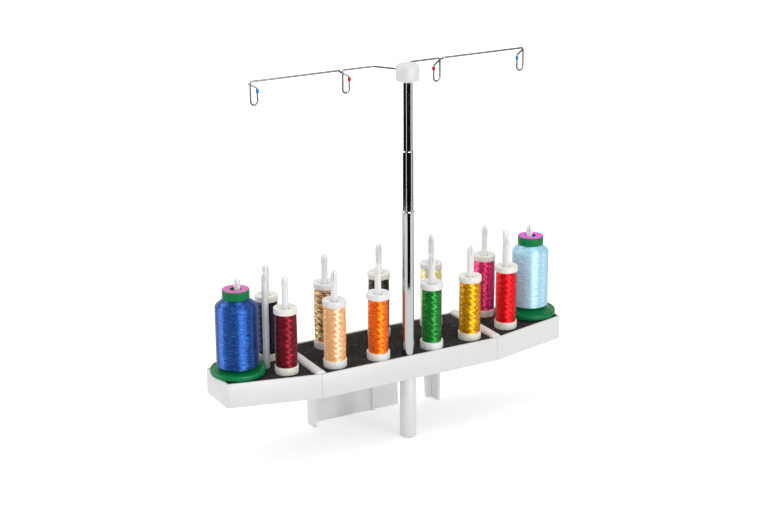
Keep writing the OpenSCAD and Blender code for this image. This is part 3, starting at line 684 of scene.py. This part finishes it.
def screw(head_r, head_h, shank_r, length):
    """A screw that points up: a round head with a six-lobed recess, and a ridged shank."""
    recess_z, pitch, ridge, point = 0.55 * head_h, 0.6, 0.2, 1.2

    def lobes(r, z, turn):
        in_recess = 0 < z < 0.6 * head_h and r < 0.5 * head_r
        return 0.12 * head_r * math.cos(6 * turn) if in_recess else 0.0

    recess = [(0, recess_z), (0.38 * head_r, recess_z), (0.44 * head_r, 0.02)]
    head = [(0.5 * head_r, 0), (0.86 * head_r, 0.12 * head_h), (head_r, 0.5 * head_h), (head_r, head_h)]
    ridges = []
    z = head_h
    while z < length - point:
        ridges += [(shank_r, z + 0.1), (shank_r, z + 0.3), (shank_r - ridge, z + 0.45)]
        z += pitch
    end = [(shank_r - 0.3, length - 0.4), (0, length)]
    return turned(recess + head + ridges + end, (0, 0), sides=48, shape=lobes)


def screws(node, name, places, **sizes):
    """Screws of one size at their places, each (x, y, z, turns in degrees)."""
    new_piece(node, name, set_out(screw(**sizes), places, SCREW), SCREW)


def all_screws():
    """The screws that join the wings, hold the bracket to its ledge and hold the mast."""
    node, half_apart = "wing_screws", 24.215
    wing_x, wing_y, wing_z = span(node, "x")[1], middle(node, "y"), middle(node, "z")
    joining = [(side * wing_x, wing_y + row * half_apart, wing_z, 0, -side * 90, 0)
               for side in (-1, 1) for row in (-1, 1)]
    screws(node, "wing_joining_screws", joining, head_r=2.8, head_h=1.8, shank_r=1.5, length=12)
    node = "rear_bracket_screws"
    ledge_y, ledge_z = middle(node, "y"), span(node, "z")[0]
    ledge = [(x, ledge_y, ledge_z, 0, 0, 0) for x in (-43.09, -16.958, 16.958, 43.09)]
    screws(node, "bracket_ledge_screws", ledge, head_r=2.8, head_h=1.8, shank_r=1.5, length=12.3)
    foot = [(0, MAST_Y, span("foot_post_screw", "z")[0], 0, 0, 0)]
    screws("foot_post_screw", "mast_bolt", foot, head_r=3.8, head_h=3, shank_r=2, length=21)


def mast_tube(step, foot_short, next_step=None):
    """A tube of the mast; its mouth is rolled in round the next tube."""
    node = f"mast_{step}_tube"
    low, high = span(node, "z")
    low += foot_short
    outer = span(node, "x")[1]
    inner = outer - 0.4
    outline = [(inner, low), (outer - 0.1, low), (outer, low + 0.1), (outer, low + 0.3)]
    if next_step:
        mouth = span(f"mast_{next_step}_tube", "x")[1] + 0.05
        outline += [(outer, high - 0.6), (outer, high - 0.4), (outer - 0.12, high - 0.1),
                    (outer - 0.4, high), (mouth, high), (mouth, high - 1.2), (inner, high - 1.2)]
    else:
        outline += [(outer, high), (inner, high)]
    mesh = turned(outline, (0, MAST_Y), sides=96)
    new_piece(node, step + "_chrome_tube", mesh, CHROME)


def mast():
    """Three tubes. The two inner ones start a little above the feet of their solids, out of sight."""
    mast_tube("lower", 0.0, "middle")
    mast_tube("middle", 0.3, "top")
    mast_tube("top", 0.3)


def hub():
    """The guide's hub: a rounded top edge, a fine parting line and a bore for the bush."""
    bore, bore_top, edge, line_z, dish = 5.45, 10.1, 3, 2.3, 0.12
    foot = [(bore, 0), (HUB_R - 1.1, 0), (HUB_R - 0.3, 0.35), (HUB_R, 1.2)]
    in_line = HUB_R - 0.1
    line = [(HUB_R, line_z), (in_line, line_z + 0.1), (in_line, line_z + 0.25), (HUB_R, line_z + 0.35)]
    top = [(HUB_R, HUB_H - edge)] + quarter(HUB_R - edge, HUB_H - edge, edge, start=10)
    face = [(HUB_R - edge, HUB_H), (HUB_R - edge - 0.6, HUB_H - dish), (0, HUB_H - dish)]
    inside = [(0, bore_top), (bore, bore_top)]
    mesh = turned(foot + line + top + face + inside, (0, MAST_Y), HUB_Z, 96)
    new_piece("guide_hub", "guide_hub_cap", mesh, HUB)


def hub_bush():
    """The bush that the hub turns on, with a narrower neck below."""
    inner, neck, outer = 4.42, 4.9, 5.4
    outline = [(inner, -1.6), (neck - 0.2, -1.6), (neck, -1.4), (neck, 1), (outer, 1), (outer, 9.7),
               (outer - 0.3, 10), (inner, 10)]
    mesh = turned(outline, (0, MAST_Y), HUB_Z, 64)
    new_piece("hub_bush", "hub_turning_bush", mesh, HUB)


def guide_wire(side, node):
    """A bent wire from the hub, with two long eyelets that close with a hook round the first leg."""
    in_hub, hook_z, step_out = 6.6, WIRE_Z - 2.3, 3.6

    def eyelet(x):
        far, foot = x - EYELET_W, WIRE_Z - EYELET_H
        return [(x, ARM_Y, WIRE_Z), (x, ARM_Y, foot), (far, ARM_Y, foot), (far, ARM_Y, WIRE_Z - 6.3),
                (x + 0.7, ARM_Y + 2.15, hook_z)]

    turn = math.atan2(ARM_Y - MAST_Y, ELBOW_X)
    points = [(in_hub * math.cos(turn), MAST_Y + in_hub * math.sin(turn), WIRE_Z), (ELBOW_X, ARM_Y, WIRE_Z)]
    points += eyelet(RED_EYELET_X) + [(RED_EYELET_X + step_out, ARM_Y, WIRE_Z)] + eyelet(BLUE_EYELET_X)
    bends = [2, EYELET_W / 2, EYELET_W / 2, 0.8]
    path = [(side * x, y, z) for x, y, z in arcs(points, [3] + bends + [1, 1.2] + bends)]
    mesh = rod(path, WIRE_D, 16, WIRE)
    smooth(mesh, 60)
    new_piece(node, node + "_bent", mesh, WIRE)


def beads(colour, eyelet_x, finish):
    """A barrel bead on the far leg of an eyelet, at the left and at the right."""
    node = colour + "_beads"
    half = [(0.92, 1.75), (1.25, 1.75), (1.48, 1.3), (1.6, 0.5)]
    barrel = turned([(r, -z) for r, z in half] + half[::-1], (0, 0), sides=32)
    places = [(side * (eyelet_x - EYELET_W), ARM_Y, middle(node, "z"), 0, 0, 0) for side in (-1, 1)]
    new_piece(node, node + "_barrels", set_out(barrel, places, finish), finish)


def wound(outline, inner, centre, sides, ripple):
    """The winding as a ring: its outside follows the outline and ripples with the lay of the thread."""
    low, high = outline[0][1], outline[-1][1]
    calm = 1.5

    def lay(r, z, turn):
        if r <= inner + 0.1:
            return 0.0
        edge = min(1.0, (z - low) / calm, (high - z) / calm)
        wave = math.sin(z * 2.2 + 2 * math.sin(turn * 2 + z * 0.35)) * math.sin(turn * 3 + z * 0.21)
        return ripple * max(0.0, edge) * (wave - 1) / 2

    return turned([(inner, low)] + outline + [(inner, high)], centre, MAT_Z, sides, lay, True)


def small_spool(name, plastic):
    """A small spool's core with its two caps, and the thread wound on it."""
    core_node, thread_node = name + "_spool_core", name + "_thread"
    x, y = middle(core_node, "x"), middle(core_node, "y")
    top = span(core_node, "z")[1] - MAT_Z
    low, high = (z - MAT_Z for z in span(thread_node, "z"))
    cap, wound_r = (span(node, "x")[1] - x for node in (core_node, thread_node))
    bore, core = 3.7, 5.5
    outline = [
        (bore, 0), (cap, 0), (cap, low), (core, low), (core, high), (cap, high), (cap, top),
        (cap - 1.3, top), (cap - 1.6, top - 0.5), (bore + 3.6, top - 0.7), (bore + 3.3, top - 0.25),
        (bore + 2.5, top - 0.25), (bore + 2.2, top - 1.2), (bore, top - 1.2),
    ]
    reel = turned(eased(outline, 0.45), (x, y), MAT_Z, 96)
    new_piece(core_node, name + "_spool_reel", reel, CORE[plastic])
    rows, crown, clear = 90, 0.35, 0.02
    tall = high - low - 2 * clear
    side = []
    for k in range(rows + 1):
        t = k / rows
        side.append((wound_r - crown + crown * math.sin(math.pi * t), low + clear + t * tall))
    finish = dyed_thread(name)
    winding = wound(side, core + 0.05, (x, y), 128, 0.12)
    if name == "red":
        winding = with_tail(winding, x, y, wound_r, finish)
    new_piece(thread_node, name + "_winding", winding, finish)


def with_tail(winding, x, y, r, finish):
    """The loose end of the thread stands off at the foot of its winding."""
    at, bow, sunk, thickness = math.radians(150), 0.03, 0.6, 0.45
    path = []
    for i, (out, z) in enumerate([(0.2, 9.2), (1.0, 9.0), (2.4, 8.2), (3.6, 6.6), (4.6, 5.4), (5.6, 5.2)]):
        turn = at + bow * i
        away = r - sunk + out
        path.append((x + away * math.cos(turn), y + away * math.sin(turn), MAT_Z + z))
    bm = bmesh.new()
    bm.from_mesh(winding)
    bm.from_mesh(rod(arcs(path, [0.25] * 4, 4), thickness, 8, finish))
    bm.to_mesh(winding)
    bm.free()
    return winding


def large_spool(name):
    """A large spool: green base and cap, a paper disc, and its shouldered winding."""
    base_node, core_node, thread_node = name + "_spool_base", name + "_spool_core", name + "_thread"
    x, y = middle(base_node, "x"), middle(base_node, "y")
    top = span(core_node, "z")[1] - MAT_Z
    low, high = (z - MAT_Z for z in span(thread_node, "z"))
    base, cap, wound_r = (span(node, "x")[1] - x for node in (base_node, core_node, thread_node))
    bore, core, ring, rim = 5.4, 7.0, 19.0, 6.2
    outline = [
        (bore, 0), (ring, 0), (ring, 1.2), (base - 0.9, 1.2), (base - 0.2, 1.6), (base, 2.4),
        (base, rim - 1.2), (base - 0.3, rim - 0.4), (base - 1, rim), (base - 2, rim), (base - 3, rim - 0.7),
        (core + 8, low - 2), (core + 5, low - 1.4), (core + 4, low), (bore, low),
    ]
    foot = turned(eased(outline, 0.5), (x, y), MAT_Z, 128)
    new_piece(base_node, name + "_spool_foot", foot, GREEN)
    outline = [
        (bore, low), (core, low), (core, high), (cap - 0.7, high), (cap, high + 0.7), (cap, top - 0.7),
        (cap - 0.3, top - 0.1), (cap - 0.7, top), (cap - 0.7, top - 0.6), (bore, top - 0.6),
    ]
    head = turned(eased(outline, 0.2), (x, y), MAT_Z, 128)
    new_piece(core_node, name + "_spool_cap", head, GREEN)
    side = shouldered(low, high, wound_r, cap - 1.2)
    winding = wound(side, core + 0.05, (x, y), 160, 0.14)
    finish = dyed_thread(name, lay=3.4, tilt=8, lean=0.014, painted_stray_shade=0.75)
    new_piece(thread_node, name + "_winding", winding, finish)
    paint(NODES[name + "_spool_disc"].data, DISC[name])


def shouldered(low, high, r, neck):
    """The outside of a large winding: a round foot, a straight wall and a slope to its neck."""
    rows, slope_rows, steepness, foot_h, round_h = 90, 12, 0.82, 0.8, 1.15
    shoulder_z = high - (r - neck) * steepness
    wall = shoulder_z - 1.5 - low - foot_h
    rest = high - shoulder_z - round_h
    side = [(r - 0.8, low), (r - 0.3, low + 0.3), (r, low + foot_h)]
    side += [(r, low + foot_h + wall * t / rows) for t in range(1, rows + 1)]
    side += [(r - 0.12, shoulder_z - 0.6), (r - 0.5, shoulder_z + 0.1), (r - 1.5, shoulder_z + round_h)]
    for k in range(1, slope_rows + 1):
        t = k / slope_rows
        side.append((r - 1.5 + (neck - r + 1.5) * t, shoulder_z + round_h + rest * t))
    return side


def lit_by_camera(name, shade, glow, far_glow):
    """A stage material: matt, with light of its own for the camera and for reflections, and
    more of it away from the object, where the lamps no longer reach."""
    stage = Finish(name, 0.9, Base_Color=tint(*shade))
    ray = stage.add("LightPath").outputs
    mirrored = stage.math("MAXIMUM", ray["Is Glossy Ray"], ray["Is Transmission Ray"])
    seen = stage.math("MAXIMUM", ray["Is Camera Ray"], mirrored)
    away = stage.add("VectorMath", {0: stage.place()}, operation="LENGTH").outputs["Value"]
    power = stage.times(seen, stage.spread(away, 0.35, 1.3, glow, far_glow))
    light = stage.add("Emission", {"Strength": power}).outputs[0]
    both = stage.add("AddShader", {0: stage.shader.outputs[0], 1: light}).outputs[0]
    stage.links.new(both, stage.nodes["Material Output"].inputs["Surface"])
    return stage.material


def floor():
    """The pale floor, a hair below the object."""
    mesh = bpy.data.meshes.new("floor")
    bm = bmesh.new()
    bmesh.ops.create_grid(bm, x_segments=1, y_segments=1, size=9)
    bm.to_mesh(mesh)
    bm.free()
    paint(mesh, lit_by_camera("pale floor", (243, 243, 243), glow=0.36, far_glow=0.95))
    made = put("floor", mesh)
    made.location.z = -0.0002


def black_cloth(from_azimuth, to_azimuth, near, far, height=0.0):
    """Black cloth on the floor round the mast, and up from its far edge where it has a height.
    Azimuths are degrees from the front, and radii metres. Only reflections show it."""
    lift, step_turn = 0.002, 6
    profile = [(near, lift), (far, lift)] + ([(far, height)] if height else [])
    steps = max(2, round(abs(to_azimuth - from_azimuth) / step_turn))
    points, faces = [], []
    for k in range(steps + 1):
        a = math.radians(from_azimuth + (to_azimuth - from_azimuth) * k / steps)
        points += [(math.sin(a) * r, MAST_Y * MM - math.cos(a) * r, z) for r, z in profile]
    wide = len(profile)
    for k in range(steps):
        for i in range(k * wide, (k + 1) * wide - 1):
            faces.append((i, i + 1, i + wide + 1, i + wide))
    mesh = bpy.data.meshes.new("black cloth")
    mesh.from_pydata(points, [], faces)
    paint(mesh, CLOTH)
    made = put("black cloth", mesh)
    made.visible_camera = made.visible_diffuse = False
    made.visible_shadow = made.visible_transmission = False


def black_cloths():
    """The mast mirrors these as its dark stripes: far and near on the floor, and upright."""
    for azimuths in ((-150, -67), (-56, 42), (52, 60), (78, 150)):
        black_cloth(*azimuths, near=0.72, far=2.2)
    for azimuths in ((-133, -123), (-40, 18), (72, 82)):
        black_cloth(*azimuths, near=0.42, far=0.72)
    for azimuths in ((-90, -32), (32, 120)):
        black_cloth(*azimuths, near=2.1, far=2.2, height=1.9)


def soft_light(name, azimuth, distance, height, size, power, sheen_only=False):
    """A soft lamp that faces the spools: degrees from the front, metres and watts."""
    a = math.radians(azimuth)
    spools = Vector((0, 0, 0.12))
    place = Vector((math.sin(a) * distance, -math.cos(a) * distance, height))
    lamp = bpy.data.lights.new(name, "AREA")
    lamp.shape = "RECTANGLE"
    lamp.size, lamp.size_y = size
    lamp.energy = power
    made = put(name, lamp)
    made.location = place
    made.rotation_mode = "QUATERNION"
    made.rotation_quaternion = (spools - place).to_track_quat("-Z", "Y")
    made.visible_diffuse = not sheen_only


def lamps():
    """Three lamps light the object, and three strips show only in its sheen."""
    soft_light("front lamp", 22, 1.9, 0.7, (0.34, 1.3), 6.4)
    soft_light("left lamp", -81, 1.9, 0.8, (0.4, 1.3), 2.4)
    soft_light("top lamp", 150, 0.3, 2.1, (1.6, 1.4), 9)
    soft_light("front strip", 0, 1.9, 0.55, (1.2, 1.1), 50, sheen_only=True)
    soft_light("left strip", -115, 1.9, 0.55, (1.0, 1.1), 36, sheen_only=True)
    soft_light("right strip", 64, 1.9, 0.6, (0.6, 1.1), 8, sheen_only=True)


def sky():
    """A white studio: plain light on the object, and full white for the camera and reflections."""
    plain_light, full_white = 0.72, 1.0
    world = bpy.data.worlds.new("studio")
    bpy.context.scene.world = world
    world.use_nodes = True
    nodes, links = world.node_tree.nodes, world.node_tree.links
    nodes.clear()
    path = nodes.new("ShaderNodeLightPath")
    mix = nodes.new("ShaderNodeMixShader")
    seen = path.outputs["Is Camera Ray"]
    for ray in ("Is Glossy Ray", "Is Transmission Ray"):
        either = nodes.new("ShaderNodeMath")
        either.operation = "MAXIMUM"
        links.new(seen, either.inputs[0])
        links.new(path.outputs[ray], either.inputs[1])
        seen = either.outputs[0]
    links.new(seen, mix.inputs[0])
    for socket, strength in ((1, plain_light), (2, full_white)):
        light = nodes.new("ShaderNodeBackground")
        light.inputs["Color"].default_value = (1, 1, 1, 1)
        light.inputs["Strength"].default_value = strength
        links.new(light.outputs[0], mix.inputs[socket])
    links.new(mix.outputs[0], nodes.new("ShaderNodeOutputWorld").inputs[0])


def aim_camera():
    """The photograph's view: turned to the left, looking down on the rack."""
    az, el, roll = (math.radians(turn) for turn in (VIEW_AZIMUTH, VIEW_ELEVATION, VIEW_ROLL))
    back = Vector((math.sin(az) * math.cos(el), -math.cos(az) * math.cos(el), math.sin(el)))
    side = Vector((math.cos(az), math.sin(az), 0))
    up = back.cross(side)
    right = math.cos(roll) * side + math.sin(roll) * up
    top = -math.sin(roll) * side + math.cos(roll) * up
    place = right * VIEW_RIGHT + top * VIEW_UP + back * VIEW_BACK + Vector((0, FRONT_Y, RIM_Z))
    lens = bpy.data.cameras.new("camera")
    lens.lens, lens.sensor_width = VIEW_LENS, VIEW_SENSOR
    lens.clip_start, lens.clip_end = 0.1, 60
    camera = put("camera", lens)
    camera.matrix_world = Matrix((
        (right.x, top.x, back.x, place.x * MM), (right.y, top.y, back.y, place.y * MM),
        (right.z, top.z, back.z, place.z * MM), (0, 0, 0, 1)))
    bpy.context.scene.camera = camera


trays_and_supports()
paint(NODES["mast_foot_plug"].data, PLUG)
paint(NODES["middle_spring_sleeve"].data, BRASS)
paint(NODES["top_spring_sleeve"].data, BRASS)
spool_pins()
all_screws()
mast()
hub()
hub_bush()
guide_wire(1, "right_guide_wire")
guide_wire(-1, "left_guide_wire")
beads("blue", BLUE_EYELET_X, BLUE_BEAD)
beads("red", RED_EYELET_X, RED_BEAD)
for spool, plastic in SMALL_SPOOLS.items():
    small_spool(spool, plastic)
for spool in LARGE_SPOOLS:
    large_spool(spool)

sky()
floor()
black_cloths()
lamps()
aim_camera()
bpy.context.scene.view_settings.view_transform = "Standard"
